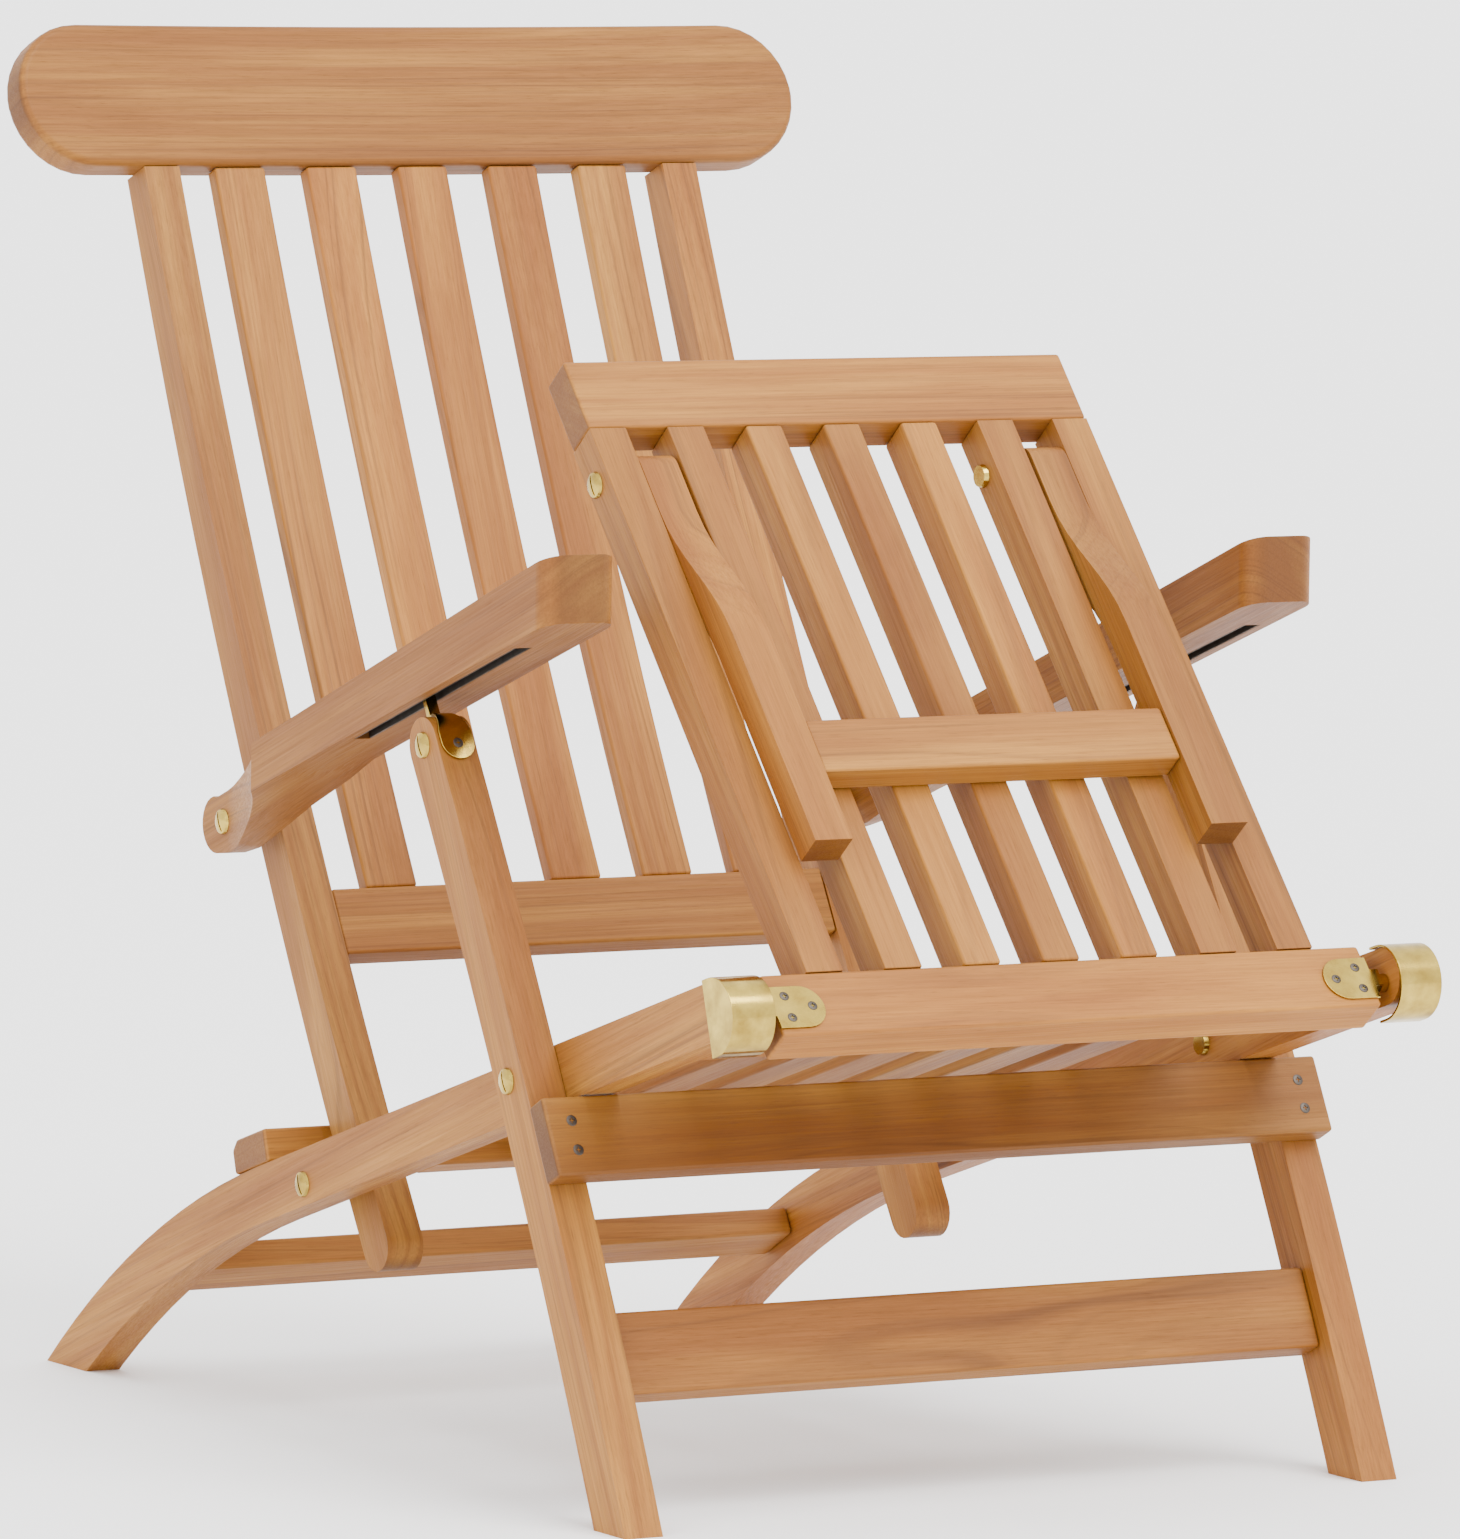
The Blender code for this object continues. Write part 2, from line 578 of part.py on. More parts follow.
def build_arm(side_name, side, teak, steel):
    """Arm with its rear tongue, underside slot and slot track."""
    corner = ARM_CORNER
    front = [ARM_FRONT_Y + corner * (1 - math.cos(a)) for a in np.linspace(0, math.pi / 2, 7)]
    middle = list(np.linspace(ARM_FRONT_Y + corner, ARM_DROOP_Y[0], 5)[1:])
    rear = sorted(set(ARM_DROOP_Y[1:-1]) | set(ARM_RAMP_Y) | {ARM_DROOP_Y[-1]})
    rings = []
    for y in front + middle + rear:
        inset = corner - math.sqrt(max(corner ** 2 - max(ARM_FRONT_Y + corner - y, 0.0) ** 2, 0.0))
        inner = ARM_INNER_X + inset
        outer = float(np.interp(y, ARM_RAMP_Y, ARM_RAMP_X)) - inset
        top = line_height(ARM_TOP, y)
        under = line_height(ARM_UNDER, y)
        droop = under if y < ARM_DROOP_Y[0] else float(np.interp(y, ARM_DROOP_Y, ARM_DROOP_Z))
        share = (outer - TONGUE_OUTER_X) / (ARM_OUTER_X - TONGUE_OUTER_X)
        outer_under = droop + (under - droop) * share
        rings.append([(inner, y, droop), (outer, y, outer_under), (outer, y, top), (inner, y, top)])
    for turn in np.linspace(0.2, 0.47 * math.pi, 6):
        y = ARM_TAIL_CENTRE[0] + ARM_TAIL_RADIUS * math.sin(turn)
        reach = ARM_TAIL_RADIUS * math.cos(turn)
        low, high = ARM_TAIL_CENTRE[1] - reach, ARM_TAIL_CENTRE[1] + reach
        inner, outer = ARM_INNER_X, TONGUE_OUTER_X
        rings.append([(inner, y, low), (outer, y, low), (outer, y, high), (inner, y, high)])
    rings = [[(side * x, y, z) for x, y, z in ring] for ring in rings]
    arm = loft(f"arm_{side_name}", rings, teak)
    start, end = ((y, line_height(ARM_UNDER, y)) for y in SLOT_SPAN_Y)
    x = side * SLOT_X
    half = SLOT_HALF
    section = [(x - half, -0.01), (x + half, -0.01), (x + half, SLOT_DEPTH), (x - half, SLOT_DEPTH)]
    tool = helper(beam(f"slot_{side_name}", section, start, end, None))
    combine(arm, tool, "DIFFERENCE")
    half -= GAP
    deep = SLOT_DEPTH - GAP
    inside = half - TRACK_WALL
    roof = deep - TRACK_WALL
    section = [(-half, 0.0), (-half, deep), (half, deep), (half, 0.0)]
    section += [(inside, 0.0), (inside, roof), (-inside, roof), (-inside, 0.0)]
    section = [(x + across, height) for across, height in section]
    run = Bow(start, math.atan2(end[1] - start[1], end[0] - start[0]))
    length = math.dist(start, end)
    name = f"arm_track_{side_name}"
    return arm, beam(name, section, run.at(GAP), run.at(length - GAP), steel)


def footrest_outline(span, low, high):
    """Four corners of a straight footrest piece."""
    corners = ((span[0], low), (span[1], low), (span[1], high), (span[0], high))
    return [footrest_place(*corner) for corner in corners]


def build_footrest(teak, brass):
    """Footrest frame, slats and hinge plates; returns all pieces and what each leg bolt crosses."""
    back = -FOOTREST_THICK
    outline = footrest_outline(FOOT_RAIL_SPAN, back, 0.0)
    pieces = [plank("footrest_rear_rail", outline, -FOOT_RAIL_HALF, FOOT_RAIL_HALF, teak)]
    outline = footrest_outline(FOOT_TOP_SPAN, back, 0.0)
    pieces.append(plank("footrest_top_rail", outline, -FOOT_SIDE_OUTER_X, FOOT_SIDE_OUTER_X, teak))
    outline = footrest_outline(FOOT_SIDE_SPAN, back, 0.0)
    sides = {}
    for side_name, side in SIDES:
        x0, x1 = side * FOOT_SIDE_INNER_X, side * FOOT_SIDE_OUTER_X
        sides[side_name] = plank(f"footrest_side_{side_name}", outline, x0, x1, teak)
        pieces += [sides[side_name], build_hinge_plate(side_name, side, brass)]
    outline = footrest_outline(FOOT_SIDE_SPAN, -FOOT_SLAT_THICK, 0.0)
    slats = []
    for number, x in enumerate(spread(FOOT_SLAT_COUNT, FOOT_SLAT_PITCH), 1):
        half = FOOT_SLAT_WIDTH / 2
        slats.append(plank(f"footrest_slat_{number}", outline, x - half, x + half, teak))
    crossed = {"left": (sides["left"], slats[-1]), "right": (sides["right"], slats[0])}
    return pieces + slats, crossed


def build_hinge_plate(side_name, side, brass):
    """Plate on the front of the footrest's rear rail, with a knuckle round the hinge pin."""
    centre_x = PLATE_INNER_X + PLATE_HALF
    round_end = arc((centre_x, 0.0), PLATE_HALF, math.pi / 2, 1.5 * math.pi, 12)
    shoulder = FOOT_RAIL_HALF
    neck = [(shoulder, -PLATE_HALF), (shoulder, -NECK_HALF), (KNUCKLE_X[1], -NECK_HALF)]
    neck += [(x, -s) for x, s in reversed(neck)]
    rings = []
    for forward in (GAP, GAP + PLATE_THICK):
        places = [(side * x, *footrest_place(s, forward)) for x, s in round_end + neck]
        rings.append(places)
    plate = loft(f"hinge_plate_{side_name}", rings, brass)
    outer = HINGE_SET_BACK + GAP + PLATE_THICK
    x0, x1 = KNUCKLE_X
    profile = ((x0, KNUCKLE_BORE), (x1, KNUCKLE_BORE), (x1, outer), (x0, outer))
    knuckle = turned(f"knuckle_{side_name}", FOOTREST_HINGE, profile, side, None, closed=True)
    combine(plate, helper(knuckle), "UNION")
    return plate


def build_footrest_legs(teak, brass, crossed):
    """Hinged support of the footrest: two bent legs, a crossbar and its bolts."""
    bend = FOOT_LEG_BEND
    stations = list(np.linspace(bend[0], bend[1], 9))
    lower, upper = FOOT_LEG_CENTRES
    front = [footrest_place(FOOT_LEG_END, lower + FOOT_LEG_DEPTHS[0] / 2)]
    rear = [footrest_place(FOOT_LEG_END, lower - FOOT_LEG_DEPTHS[0] / 2)]
    for s in stations:
        share = (s - bend[0]) / (bend[1] - bend[0])
        ease = (1 - math.cos(math.pi * share)) / 2
        centre = lower + (upper - lower) * ease
        half = (FOOT_LEG_DEPTHS[0] + (FOOT_LEG_DEPTHS[1] - FOOT_LEG_DEPTHS[0]) * share) / 2
        front.append(footrest_place(s, centre + half))
        rear.append(footrest_place(s, centre - half))
    half = FOOT_LEG_DEPTHS[1] / 2
    round_at = FOOT_LEG_TOP - half
    facing = math.pi / 2 - FOOTREST_LEAN
    cap = arc(footrest_place(round_at, upper), half, facing + math.pi / 2, facing - math.pi / 2, 12)
    outline = front + cap + rear[::-1]
    place = footrest_place(*FOOT_LEG_PIVOT)
    inner = spread(FOOT_SLAT_COUNT, FOOT_SLAT_PITCH)[-1] - FOOT_SLAT_WIDTH / 2 - GAP
    outer = FOOT_SIDE_OUTER_X + GAP
    pieces = []
    for side_name, side in SIDES:
        x0, x1 = side * FOOT_LEG_INNER_X, side * FOOT_LEG_OUTER_X
        leg = plank(f"footrest_leg_{side_name}", outline, x0, x1, teak)
        pieces.append(leg)
        pieces.append(bolt(f"footrest_leg_bolt_{side_name}", place, inner, outer, side, brass))
        bore((leg, *crossed[side_name]), f"footrest_leg_{side_name}", place, 0.09, 0.19, side)
    outline = footrest_outline(FOOT_BAR_SPAN, *FOOT_BAR_DEPTH)
    reach = FOOT_LEG_INNER_X - GAP
    pieces.append(plank("footrest_leg_crossbar", outline, -reach, reach, teak))
    return pieces


def build_hinge_pin(side_name, side, brass, rail):
    """Pin joining a footrest knuckle to the front end of a side rail."""
    start = FOOT_RAIL_HALF + GAP
    collar_start = KNUCKLE_X[1] + GAP
    collar_end = RAIL_INNER_X - GAP
    profile = [(start, SHAFT_RADIUS), (collar_start, SHAFT_RADIUS), (collar_start, 0.0060)]
    profile += [(collar_end, 0.0060), (collar_end, SHAFT_RADIUS)]
    profile += [(RAIL_OUTER_X - GAP, SHAFT_RADIUS)]
    bore([rail], f"hinge_{side_name}", FOOTREST_HINGE, 0.22, 0.26, side)
    return turned(f"hinge_pin_{side_name}", FOOTREST_HINGE, profile, side, brass)


def build_chair():
    """Every piece of the chair, hung on the pivots that carry it."""
    teak = make_finish("teak", (0.52, 0.32, 0.16), 0.55, 0.0)
    brass = make_finish("brass", (0.80, 0.62, 0.28), 0.18, 1.0)
    steel = make_finish("dark_steel", (0.12, 0.10, 0.09), 0.40, 1.0)
    rails = build_seat(teak, brass)
    leg_axis = pivot("front_legs_axis", LEG_PIVOT)
    hang(build_legs(teak, brass, rails), leg_axis)
    back_axis = pivot("back_axis", BACK_PIVOT)
    arm_axis = pivot("arm_axis", ARM_PIVOT, back_axis)
    back_pieces, stiles = build_back(teak)
    hang(back_pieces, back_axis)
    footrest_axis = pivot("footrest_axis", FOOTREST_HINGE)
    footrest_pieces, crossed = build_footrest(teak, brass)
    hang(footrest_pieces, footrest_axis)
    foot_leg_axis = pivot("footrest_legs_axis", footrest_place(*FOOT_LEG_PIVOT), footrest_axis)
    hang(build_footrest_legs(teak, brass, crossed), foot_leg_axis)
    for side_name, side in SIDES:
        stile, rail = stiles[side_name], rails[side_name]
        nut, head = STILE_INNER_X - GAP, RAIL_OUTER_X + GAP
        collar = (STILE_OUTER_X + GAP, RAIL_INNER_X - GAP)
        screw = bolt(f"back_pivot_bolt_{side_name}", BACK_PIVOT, nut, head, side, brass, collar)
        bore([stile, rail], f"back_pivot_{side_name}", BACK_PIVOT, 0.18, 0.26, side)
        hang([screw], back_axis)
        arm, track = build_arm(side_name, side, teak, steel)
        head = TONGUE_OUTER_X + GAP
        collar = (STILE_OUTER_X + GAP, ARM_INNER_X - GAP)
        screw = bolt(f"arm_pivot_screw_{side_name}", ARM_PIVOT, nut, head, side, brass, collar)
        bore([stile, arm], f"arm_pivot_{side_name}", ARM_PIVOT, 0.18, 0.25, side)
        hang([arm, track, screw], arm_axis)
        hang([build_hinge_pin(side_name, side, brass, rail)], footrest_axis)


clear_scene()
build_chair()
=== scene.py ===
"""Looks of the folding deck chair: oiled teak boards, polished brass and darkened steel fittings."""
import math
import random

import bmesh
import bpy
from mathutils import Matrix, Vector


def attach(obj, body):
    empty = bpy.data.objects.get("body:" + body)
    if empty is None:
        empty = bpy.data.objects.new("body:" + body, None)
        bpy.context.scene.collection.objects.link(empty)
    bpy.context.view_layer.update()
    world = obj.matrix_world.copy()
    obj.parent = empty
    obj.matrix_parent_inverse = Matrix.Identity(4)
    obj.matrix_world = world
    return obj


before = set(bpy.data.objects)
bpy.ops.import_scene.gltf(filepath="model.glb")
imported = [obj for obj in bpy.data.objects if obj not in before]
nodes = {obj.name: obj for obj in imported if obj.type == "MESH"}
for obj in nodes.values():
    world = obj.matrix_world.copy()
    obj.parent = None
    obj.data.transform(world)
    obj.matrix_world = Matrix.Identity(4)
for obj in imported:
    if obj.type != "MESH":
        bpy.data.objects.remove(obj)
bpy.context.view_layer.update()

# Directions in the side view, in degrees from +Y towards +Z
FOOTREST_ANGLE = 49.0
LEG_TOP_ANGLE = 58.6
CROSSBAR_ANGLE = 62.0

# Direction of each kind of board in the side view
BOARD_ANGLES = (
    ("side_rail", -21.0),
    ("seat_slat", -17.3),
    ("front_leg", CROSSBAR_ANGLE),
    ("back_stile", 63.4),
    ("back_slat", 63.4),
    ("arm_", -21.1),
    ("footrest_leg_", FOOTREST_ANGLE),
    ("footrest_side", FOOTREST_ANGLE),
    ("footrest_slat", FOOTREST_ANGLE),
)
# Boards that run across the chair
CROSS_BOARDS = (
    "rear_stretcher", "seat_front_rail", "seat_rear_rail", "front_crossbar", "front_stretcher",
    "back_lower_rail", "headboard", "stop_bar", "footrest_rear_rail", "footrest_top_rail",
    "footrest_leg_crossbar",
)
BRASS_NODES = ("hinge_cup", "hinge_plate", "arm_bracket", "leg_pivot_bolt", "hinge_pin", "leg_top_bolt",
               "back_pivot_bolt", "arm_pivot_screw", "footrest_leg_bolt")
STEEL_NODES = ("arm_track",)

# Teak colours, linear
TEAK_PALE = (0.415, 0.178, 0.027)
TEAK_MID = (0.250, 0.084, 0.012)
TEAK_DARK = (0.080, 0.027, 0.007)
END_GRAIN_SHADE = 0.65

BOARD_ROUNDING = 0.0022
ARM_ROUNDING = 0.0045
HEADBOARD_ROUNDING = 0.0050
FITTING_ROUNDING = 0.0004
SCREW_RADIUS = 0.0036

# Screw places in the side view, metres
HINGE_AXIS = Vector((0.0, -0.4338, 0.3221))
HINGE_PLATE_FACE = 0.0073
HINGE_SCREW_RADIUS = 0.0032
HINGE_SCREWS = ((0.1890, 0.0), (0.2060, 0.0078), (0.2060, -0.0078))
LEG_TOP_BOLT = Vector((0.0, -0.1176, 0.4603))
BRACKET_SCREW_X = 0.26745
BRACKET_SCREW_DROP = 0.0085
BRACKET_FACE = 0.0196
BRACKET_SCREW_RADIUS = 0.0034
CROSSBAR_SCREW_X = 0.2655
CROSSBAR_SCREWS = ((-0.2832, 0.2434), (-0.2921, 0.2264))

# Per-board brightness factors, partly timber tone and partly painted light: painted shade darkens boards
# that sit in shadow (front crossbar under the footrest, headboard), and painted light brightens the
# footrest rails that face the light
BOARD_TONES_AND_PAINTED_LIGHT = (
    ("headboard", 0.86),
    ("front_crossbar", 0.74),
    ("front_stretcher", 0.82),
    ("back_lower_rail", 0.84),
    ("arm_", 0.84),
    ("footrest_leg_crossbar", 1.16),
    ("footrest_top_rail", 1.10),
    ("footrest_rear_rail", 1.10),
    ("footrest_leg_", 0.98),
    ("footrest_side", 0.86),
)


def starts(name, prefixes):
    """True when the name begins with one of the prefixes."""
    return any(name.startswith(prefix) for prefix in prefixes)


class Tree:
    """Short way to add and join shader nodes."""

    def __init__(self, name):
        self.material = bpy.data.materials.new(name)
        self.material.use_nodes = True
        self.nodes = self.material.node_tree.nodes
        self.links = self.material.node_tree.links
        self.shader = self.nodes["Principled BSDF"]

    def add(self, kind, inputs=None, **settings):
        """New node; an input given as a socket is linked, anything else is its value."""
        node = self.nodes.new(kind)
        for key, value in settings.items():
            setattr(node, key, value)
        for key, value in (inputs or {}).items():
            self.feed(node.inputs[key], value)
        return node

    def feed(self, socket, value):
        """Link a socket, or set its value."""
        if isinstance(value, bpy.types.NodeSocket):
            self.links.new(value, socket)
        else:
            socket.default_value = value

    def math(self, operation, first, second=0.0):
        """Result of one arithmetic step."""
        return self.add("ShaderNodeMath", {0: first, 1: second}, operation=operation).outputs[0]

    def stretch(self, vector, scale):
        """Vector scaled along its three axes."""
        node = self.add("ShaderNodeVectorMath", {0: vector, 1: scale}, operation="MULTIPLY")
        return node.outputs[0]

    def noise(self, vector, scale, detail=3.0, roughness=0.55):
        """Noise value over a stretched vector."""
        inputs = {"Vector": self.stretch(vector, scale), "Scale": 1.0, "Detail": detail}
        inputs["Roughness"] = roughness
        return self.add("ShaderNodeTexNoise", inputs).outputs["Fac"]

    def ramp(self, value, low, high):
        """Value remapped so that low gives 0 and high gives 1, clamped."""
        inputs = {"Value": value, "From Min": low, "From Max": high}
        return self.add("ShaderNodeMapRange", inputs).outputs["Result"]

    def blend(self, share, first, second, mode="MIX"):
        """Colour mixed by a share."""
        node = self.add("ShaderNodeMix", data_type="RGBA", blend_type=mode)
        for key, value in (("Factor_Float", share), ("A_Color", first), ("B_Color", second)):
            socket = next(s for s in node.inputs if s.identifier == key)
            self.feed(socket, value if not isinstance(value, tuple) else (*value[:3], 1.0))
        return next(s for s in node.outputs if s.identifier == "Result_Color")

    def bump(self, height, distance, strength):
        """Surface relief from a height value."""
        inputs = {"Height": height, "Distance": distance, "Strength": strength}
        return self.add("ShaderNodeBump", inputs).outputs["Normal"]


def tinted(colour, tint, warmth):
    """Colour made lighter or darker by a tint and redder by a warmth."""
    red, green, blue = colour
    return (red * tint * (1 + warmth), green * tint, blue * tint * (1 - 1.5 * warmth))


def teak(name, rotation, seed, tone_and_painted_light):
    """Teak for one board, its grain running along the board's own length."""
    chance = random.Random(seed)
    # The tint is a random timber tone times the board factor, which holds painted shade or painted light
    # for some boards
    tint = tone_and_painted_light * chance.uniform(0.90, 1.10)
    warmth = chance.uniform(-0.03, 0.04)
    tree = Tree(name)
    place = tree.add("ShaderNodeTexCoord")
    lean = (chance.uniform(-0.02, 0.02), 0.0, chance.uniform(-0.025, 0.025))
    turn = tuple(a + b for a, b in zip(rotation, lean))
    shift = (chance.uniform(-0.05, 0.05), chance.uniform(-3.0, 3.0), chance.uniform(0.025, 0.09))
    inputs = {"Vector": place.outputs["Object"], "Location": shift, "Rotation": turn}
    board = tree.add("ShaderNodeMapping", inputs).outputs["Vector"]
    inputs = {"Vector": place.outputs["Normal"], "Rotation": turn}
    facing = tree.add("ShaderNodeMapping", inputs, vector_type="VECTOR").outputs["Vector"]

    warp = tree.math("SUBTRACT", tree.noise(board, (9.0, 1.6, 9.0), 2.0), 0.5)
    warp = tree.math("MULTIPLY", warp, 0.030)
    parts = tree.add("ShaderNodeSeparateXYZ", {0: board})
    across = tree.math("ADD", parts.outputs["X"], warp)
    depth = parts.outputs["Z"]
    squares = tree.math("ADD", tree.math("MULTIPLY", across, across), tree.math("MULTIPLY", depth, depth))
    ring = tree.math("SQRT", squares)
    along = parts.outputs["Y"]
    ring_place = tree.add("ShaderNodeCombineXYZ", {"X": ring, "Y": along, "Z": 0.0}).outputs[0]
    rings = tree.ramp(tree.noise(ring_place, (120.0, 0.9, 1.0), 2.0, 0.6), 0.40, 0.64)
    lines = tree.ramp(tree.noise(ring_place, (420.0, 1.3, 1.0), 3.0, 0.6), 0.54, 0.72)
    fibres = tree.ramp(tree.noise(board, (820.0, 11.0, 820.0), 4.0, 0.6), 0.32, 0.68)
    pores = tree.ramp(tree.noise(board, (2300.0, 70.0, 2300.0), 2.0, 0.5), 0.60, 0.76)
    broad = tree.ramp(tree.noise(board, (20.0, 2.0, 20.0), 3.0), 0.36, 0.64)

    pale, middle, dark = (tinted(c, tint, warmth) for c in (TEAK_PALE, TEAK_MID, TEAK_DARK))
    colour = tree.blend(broad, pale, middle)
    colour = tree.blend(tree.math("MULTIPLY", rings, 0.75), colour, middle)
    colour = tree.blend(tree.math("MULTIPLY", lines, 0.50), colour, dark)
    colour = tree.blend(tree.math("MULTIPLY", fibres, 0.30), colour, dark)
    colour = tree.blend(tree.math("MULTIPLY", pores, 0.40), colour, dark)
    end = tree.add("ShaderNodeSeparateXYZ", {0: facing}).outputs["Y"]
    end = tree.ramp(tree.math("ABSOLUTE", end), 0.70, 0.98)
    colour = tree.blend(tree.math("MULTIPLY", end, END_GRAIN_SHADE), colour, dark)
    tree.feed(tree.shader.inputs["Base Color"], colour)

    rough = tree.math("ADD", tree.math("MULTIPLY", fibres, 0.16), 0.44)
    rough = tree.math("ADD", tree.math("MULTIPLY", pores, 0.10), rough)
    tree.feed(tree.shader.inputs["Roughness"], rough)
    relief = tree.math("SUBTRACT", 1.0, tree.math("ADD", pores, tree.math("MULTIPLY", fibres, 0.5)))
    tree.feed(tree.shader.inputs["Normal"], tree.bump(relief, 0.0002, 0.35))
    tree.shader.inputs["Specular IOR Level"].default_value = 0.22
    return tree.material


def metal(name, colour, stained, roughness, spread):
    """Metal with cloudy wear in its colour and gloss and a fine brushed relief."""
    tree = Tree(name)
    place = tree.add("ShaderNodeTexCoord").outputs["Object"]
    cloud = tree.ramp(tree.noise(place, (55.0, 55.0, 55.0), 4.0), 0.30, 0.72)
    scratches = tree.noise(place, (1500.0, 120.0, 500.0), 2.0)
    tree.feed(tree.shader.inputs["Base Color"], tree.blend(cloud, colour, stained))
    rough = tree.math("ADD", tree.math("MULTIPLY", cloud, spread), roughness)
    rough = tree.math("ADD", tree.math("MULTIPLY", scratches, spread * 0.6), rough)
    tree.feed(tree.shader.inputs["Roughness"], rough)
    tree.feed(tree.shader.inputs["Normal"], tree.bump(scratches, 0.00005, 0.20))
    tree.shader.inputs["Metallic"].default_value = 1.0
    return tree.material


def paint(obj, material):
    """Give an object one material."""
    obj.data.materials.clear()
    obj.data.materials.append(material)


def soften(obj, width, segments=3):
    """Round the edges of a piece without moving its faces."""
    weld = obj.modifiers.new("weld", "WELD")
    weld.merge_threshold = 0.00001
    flat = obj.modifiers.new("flats", "DECIMATE")
    flat.decimate_type = "DISSOLVE"
    flat.angle_limit = math.radians(0.4)
    bevel = obj.modifiers.new("rounding", "BEVEL")
    bevel.width = width
    bevel.segments = segments
    bevel.limit_method = "ANGLE"
    bevel.angle_limit = math.radians(35)
    bevel.miter_outer = "MITER_ARC"
    normals = obj.modifiers.new("shading", "WEIGHTED_NORMAL")
    normals.keep_sharp = False
    normals.weight = 80
    for polygon in obj.data.polygons:
        polygon.use_smooth = True


def board_rotation(name):
    """Rotation that brings a board's length onto the texture's Y axis."""
    if name in CROSS_BOARDS:
        return (0.0, 0.0, math.radians(90))
    angle = next(a for prefix, a in BOARD_ANGLES if name.startswith(prefix))
    return (-math.radians(angle), 0.0, 0.0)


def dress_nodes(brass, steel):
    """Material and rounding for every node of the chair."""
    for index, name in enumerate(sorted(nodes)):
        obj = nodes[name]
        if starts(name, BRASS_NODES):
            paint(obj, brass)
            soften(obj, FITTING_ROUNDING, 2)
        elif starts(name, STEEL_NODES):
            paint(obj, steel)
            soften(obj, FITTING_ROUNDING, 2)
        else:
            # Board factor: timber tone, plus painted shade or painted light for boards listed in the table
            tone_and_painted_light = next((s for prefix, s in BOARD_TONES_AND_PAINTED_LIGHT if name.startswith(prefix)), 1.0)
            paint(obj, teak(f"teak_{name}", board_rotation(name), index + 11, tone_and_painted_light))
            width = BOARD_ROUNDING
            if name.startswith("arm_"):
                width = ARM_ROUNDING
            elif name == "headboard":
                width = HEADBOARD_ROUNDING
            soften(obj, width)


def screw(name, place, normal, body, material, radius=SCREW_RADIUS):
    """Countersunk screw head with a cross recess, set flush in a face."""
    mesh = bpy.data.meshes.new(name)
    body_mesh = bmesh.new()
    steps = 24
    rings = []
    for share, height in ((1.0, -0.0002), (1.0, 0.0001), (0.86, 0.00035), (0.55, 0.0005)):
        ring = []
        for i in range(steps):
            a = 2 * math.pi * i / steps
            ring.append(body_mesh.verts.new((radius * share * math.cos(a),
                                             radius * share * math.sin(a), height)))
        rings.append(ring)
    for near, far in zip(rings, rings[1:]):
        for i in range(steps):
            j = (i + 1) % steps
            body_mesh.faces.new((near[i], near[j], far[j], far[i]))
    arm, waist = radius * 0.50, radius * 0.13
    cross = ((waist, waist), (waist, arm), (-waist, arm), (-waist, waist), (-arm, waist), (-arm, -waist),
             (-waist, -waist), (-waist, -arm), (waist, -arm), (waist, -waist), (arm, -waist), (arm, waist))
    floor = [body_mesh.verts.new((x, y, -0.0006)) for x, y in cross]
    rim = [body_mesh.verts.new((x, y, 0.0005)) for x, y in cross]
    for i in range(len(cross)):
        j = (i + 1) % len(cross)
        body_mesh.faces.new((floor[i], floor[j], rim[j], rim[i]))
    body_mesh.faces.new(floor)
    top_edges = []
    for loop in (rings[-1], rim):
        for i in range(len(loop)):
            j = (i + 1) % len(loop)
            top_edges.append(body_mesh.edges.get((loop[i], loop[j])))
    bmesh.ops.triangle_fill(body_mesh, edges=top_edges, use_beauty=True)
    body_mesh.faces.new(rings[0])
    bmesh.ops.recalc_face_normals(body_mesh, faces=body_mesh.faces)
    body_mesh.to_mesh(mesh)
    body_mesh.free()
    obj = bpy.data.objects.new(name, mesh)
    bpy.context.scene.collection.objects.link(obj)
    turn = Vector(normal).to_track_quat("Z", "X").to_matrix().to_4x4()
    obj.matrix_world = Matrix.Translation(Vector(place)) @ turn
    paint(obj, material)
    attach(obj, body)


def side_direction(degrees):
    """Unit vector in the side view at an angle from +Y towards +Z."""
    angle = math.radians(degrees)
    return Vector((0.0, math.cos(angle), math.sin(angle)))


def add_screws(steel):
    """Small screws on the hinge plates, leg brackets and crossbar."""
    footrest_up = side_direction(FOOTREST_ANGLE)
    footrest_front = side_direction(FOOTREST_ANGLE + 90)
    leg_up = side_direction(LEG_TOP_ANGLE)
    leg_front = side_direction(LEG_TOP_ANGLE + 90)
    crossbar_front = side_direction(CROSSBAR_ANGLE + 90)
    plate_face = HINGE_AXIS + footrest_front * HINGE_PLATE_FACE
    bracket_face = LEG_TOP_BOLT - leg_up * BRACKET_SCREW_DROP + leg_front * BRACKET_FACE
    for side_name, side in (("left", 1), ("right", -1)):
        for number, (x, s) in enumerate(HINGE_SCREWS, 1):
            place = plate_face + Vector((side * x, 0.0, 0.0)) + footrest_up * s
            screw(f"hinge_screw_{side_name}_{number}", place, footrest_front, "footrest", steel,
                  HINGE_SCREW_RADIUS)
        place = bracket_face + Vector((side * BRACKET_SCREW_X, 0.0, 0.0))
        screw(f"bracket_screw_{side_name}", place, leg_front, "front_legs", steel,
              BRACKET_SCREW_RADIUS)
        for number, (y, z) in enumerate(CROSSBAR_SCREWS, 1):
            place = Vector((side * CROSSBAR_SCREW_X, y, z))
            screw(f"crossbar_screw_{side_name}_{number}", place, crossbar_front, "front_legs", steel)


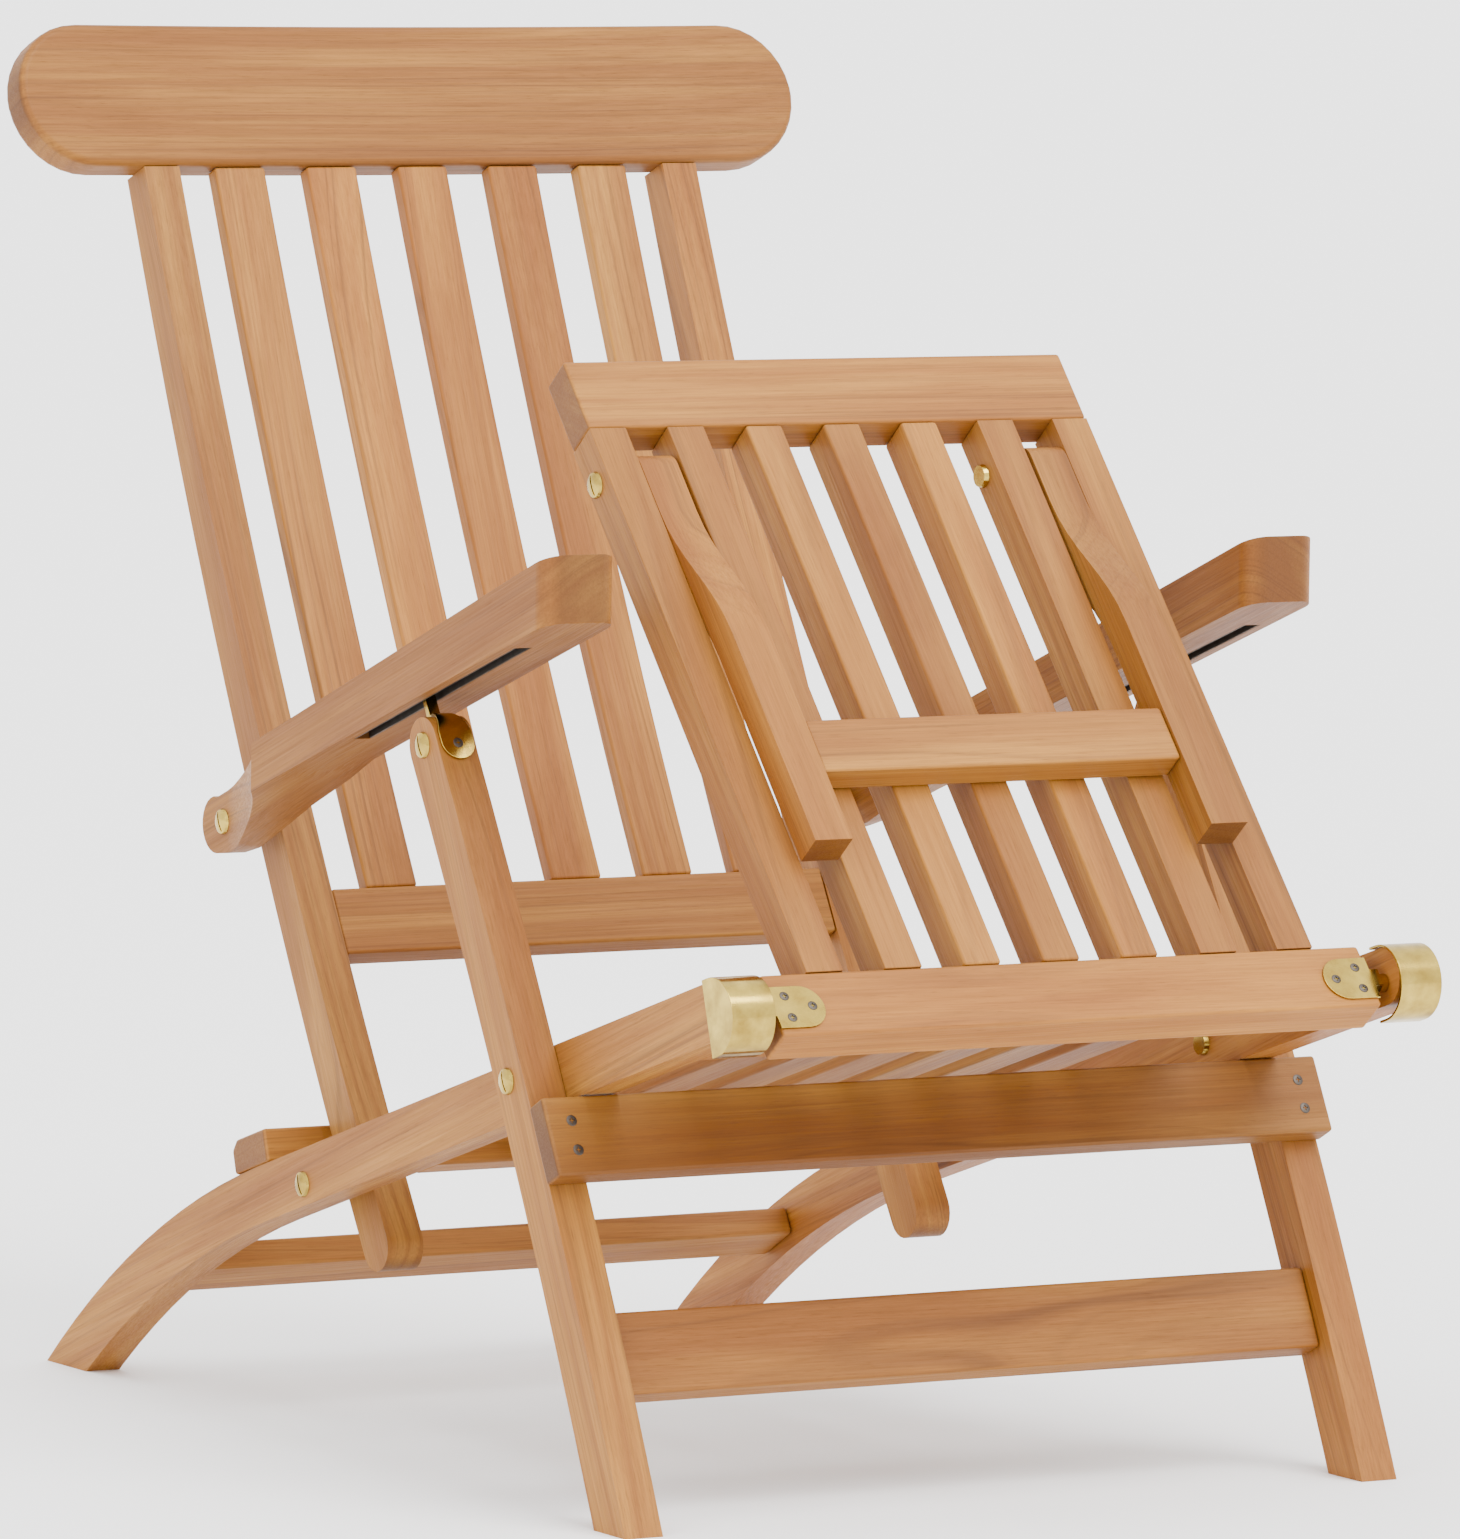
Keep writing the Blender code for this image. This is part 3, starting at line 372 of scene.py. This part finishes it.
def add_floor():
    """Pale floor, not part of the chair."""
    mesh = bpy.data.meshes.new("floor")
    size = 300.0
    corners = ((-size, -size, 0.0), (size, -size, 0.0), (size, size, 0.0), (-size, size, 0.0))
    mesh.from_pydata(corners, [], [(0, 1, 2, 3)])
    floor = bpy.data.objects.new("floor", mesh)
    bpy.context.scene.collection.objects.link(floor)
    material = bpy.data.materials.new("pale_floor")
    material.use_nodes = True
    shader = material.node_tree.nodes["Principled BSDF"]
    shader.inputs["Base Color"].default_value = (0.97, 0.97, 0.97, 1.0)
    shader.inputs["Roughness"].default_value = 0.9
    shader.inputs["Specular IOR Level"].default_value = 0.1
    paint(floor, material)


def add_light(name, place, target, size, power):
    """Soft square lamp aimed at a target."""
    lamp = bpy.data.lights.new(name, "AREA")
    lamp.size = size
    lamp.energy = power
    obj = bpy.data.objects.new(name, lamp)
    bpy.context.scene.collection.objects.link(obj)
    obj.location = place
    obj.rotation_euler = (Vector(target) - Vector(place)).to_track_quat("-Z", "Y").to_euler()


def add_sun(name, place, spread, strength):
    """Broad distant lamp shining from a place towards the chair."""
    lamp = bpy.data.lights.new(name, "SUN")
    lamp.angle = math.radians(spread)
    lamp.energy = strength
    obj = bpy.data.objects.new(name, lamp)
    bpy.context.scene.collection.objects.link(obj)
    obj.rotation_euler = (-Vector(place)).to_track_quat("-Z", "Y").to_euler()


def add_world():
    """Plain white surroundings."""
    world = bpy.data.worlds.new("studio")
    bpy.context.scene.world = world
    world.use_nodes = True
    background = world.node_tree.nodes["Background"]
    background.inputs["Color"].default_value = (1.0, 1.0, 1.0, 1.0)
    background.inputs["Strength"].default_value = 2.3


def add_camera():
    """Long lens view from the chair's front right corner, a little above the arms."""
    data = bpy.data.cameras.new("camera")
    data.sensor_width = 36.0
    data.lens = 261.49
    data.shift_x = 0.0056
    data.shift_y = -0.0160
    data.clip_start = 0.1
    data.clip_end = 1000.0
    camera = bpy.data.objects.new("camera", data)
    bpy.context.scene.collection.objects.link(camera)
    right = Vector((0.86158, -0.50741, 0.014815))
    up = Vector((0.031768, 0.083025, 0.996041))
    back = Vector((-0.506627, -0.857698, 0.087652))
    turn = Matrix((right, up, back)).transposed().to_4x4()
    camera.matrix_world = Matrix.Translation((-3.6396, -6.1685, 1.0720)) @ turn
    bpy.context.scene.camera = camera


brass = metal("polished_brass", (0.60, 0.43, 0.090), (0.27, 0.17, 0.028), 0.07, 0.14)
steel = metal("darkened_steel", (0.105, 0.088, 0.074), (0.050, 0.042, 0.036), 0.34, 0.22)
dress_nodes(brass, steel)
add_screws(steel)
add_floor()
add_world()
add_sun("key", (1.0, -3.0, 4.2), 40.0, 3.4)
add_light("fill", (-4.2, -1.6, 2.4), (0.0, 0.0, 0.4), 2.4, 60.0)
add_camera()
